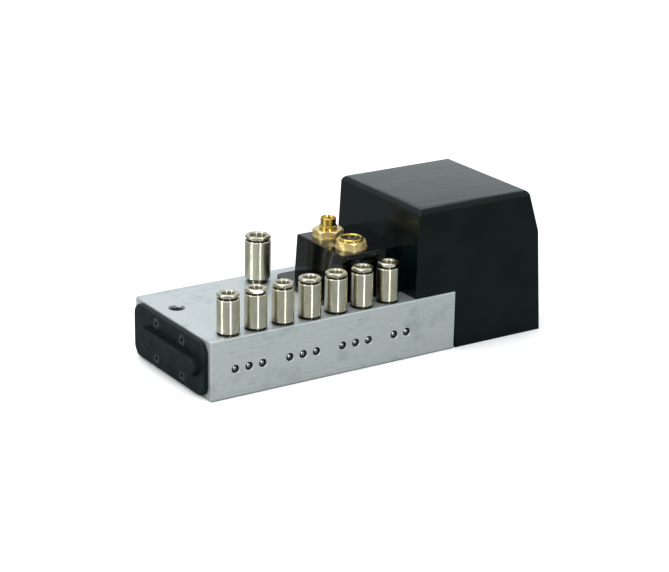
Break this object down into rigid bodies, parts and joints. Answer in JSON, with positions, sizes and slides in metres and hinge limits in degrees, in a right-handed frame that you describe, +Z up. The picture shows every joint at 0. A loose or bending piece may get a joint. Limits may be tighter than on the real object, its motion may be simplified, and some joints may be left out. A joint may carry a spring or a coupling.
{
  "type": "pneumatic valve island",
  "caption": "Compact pneumatic valve island: aluminium manifold with a row of push-in tube outlets, a supply fitting, round electrical connectors and a moulded hood over the solenoid valves.",
  "frame": {"origin": "middle of the underside of the whole part", "axes": "+X along the manifold block towards the hood, +Y from the outlet row towards the back, +Z up"},
  "size_m": [0.2, 0.0744, 0.0755],
  "materials": {
    "aluminium": "milled, satin",
    "plug_steel": "turned, bright",
    "seal_rubber": "moulded, matt",
    "moulded_plate": "moulded, fine grain",
    "black_screw": "black oxide",
    "nickel_brass": "turned, nickel plated",
    "ring_brass": "turned, nickel plated",
    "box_plastic": "moulded, glossy",
    "gold_brass": "turned, gold flashed",
    "insert_plastic": "moulded",
    "contact_gold": "gold plated",
    "hood_plastic": "moulded, satin, lightly brushed on top",
    "steel_screw": "zinc plated",
    "valve_aluminium": "anodised",
    "coil_plastic": "moulded",
    "board_laminate": "solder mask"
  },
  "bodies": {
    "island": {"manifold_block": "aluminium", "sealing_plugs": "plug_steel", "end_gasket": "seal_rubber", "end_plate": "moulded_plate", "end_plate_screws": "black_screw", "outlet_body_1": "nickel_brass", "outlet_seal_1": "seal_rubber", "outlet_body_2": "nickel_brass", "outlet_seal_2": "seal_rubber", "outlet_body_3": "nickel_brass", "outlet_seal_3": "seal_rubber", "outlet_body_4": "nickel_brass", "outlet_seal_4": "seal_rubber", "outlet_body_5": "nickel_brass", "outlet_seal_5": "seal_rubber", "outlet_body_6": "nickel_brass", "outlet_seal_6": "seal_rubber", "outlet_body_7": "nickel_brass", "outlet_seal_7": "seal_rubber", "supply_body": "nickel_brass", "supply_seal": "seal_rubber", "connector_box": "box_plastic", "box_screw": "black_screw", "m8_shell": "gold_brass", "m8_nut": "gold_brass", "m8_insert": "insert_plastic", "m8_pins": "contact_gold", "m12_shell": "gold_brass", "m12_nut": "gold_brass", "m12_insert": "insert_plastic", "m12_contacts": "contact_gold", "hood": "hood_plastic", "hood_screws": "steel_screw", "valve_gaskets": "seal_rubber", "valve_body_1": "valve_aluminium", "valve_coil_1": "coil_plastic", "valve_body_2": "valve_aluminium", "valve_coil_2": "coil_plastic", "valve_body_3": "valve_aluminium", "valve_coil_3": "coil_plastic", "valve_body_4": "valve_aluminium", "valve_coil_4": "coil_plastic", "valve_screws": "steel_screw", "control_board": "board_laminate"},
    "release_ring_1_body": {"release_ring_1": "ring_brass"},
    "release_ring_2_body": {"release_ring_2": "ring_brass"},
    "release_ring_3_body": {"release_ring_3": "ring_brass"},
    "release_ring_4_body": {"release_ring_4": "ring_brass"},
    "release_ring_5_body": {"release_ring_5": "ring_brass"},
    "release_ring_6_body": {"release_ring_6": "ring_brass"},
    "release_ring_7_body": {"release_ring_7": "ring_brass"},
    "supply_release_ring_body": {"supply_release_ring": "ring_brass"}
  },
  "joints": [
    {"name": "release_1_push", "type": "slide", "parent": "island", "child": "release_ring_1_body", "axis": [0, 0, -1], "range_m": [0, 0.001], "stiffness_N_per_m": 2500, "springref_m": -0.001},
    {"name": "release_2_push", "type": "slide", "parent": "island", "child": "release_ring_2_body", "axis": [0, 0, -1], "range_m": [0, 0.001], "stiffness_N_per_m": 2500, "springref_m": -0.001},
    {"name": "release_3_push", "type": "slide", "parent": "island", "child": "release_ring_3_body", "axis": [0, 0, -1], "range_m": [0, 0.001], "stiffness_N_per_m": 2500, "springref_m": -0.001},
    {"name": "release_4_push", "type": "slide", "parent": "island", "child": "release_ring_4_body", "axis": [0, 0, -1], "range_m": [0, 0.001], "stiffness_N_per_m": 2500, "springref_m": -0.001},
    {"name": "release_5_push", "type": "slide", "parent": "island", "child": "release_ring_5_body", "axis": [0, 0, -1], "range_m": [0, 0.001], "stiffness_N_per_m": 2500, "springref_m": -0.001},
    {"name": "release_6_push", "type": "slide", "parent": "island", "child": "release_ring_6_body", "axis": [0, 0, -1], "range_m": [0, 0.001], "stiffness_N_per_m": 2500, "springref_m": -0.001},
    {"name": "release_7_push", "type": "slide", "parent": "island", "child": "release_ring_7_body", "axis": [0, 0, -1], "range_m": [0, 0.001], "stiffness_N_per_m": 2500, "springref_m": -0.001},
    {"name": "supply_release_push", "type": "slide", "parent": "island", "child": "supply_release_ring_body", "axis": [0, 0, -1], "range_m": [0, 0.001], "stiffness_N_per_m": 2500, "springref_m": -0.001}
  ]
}
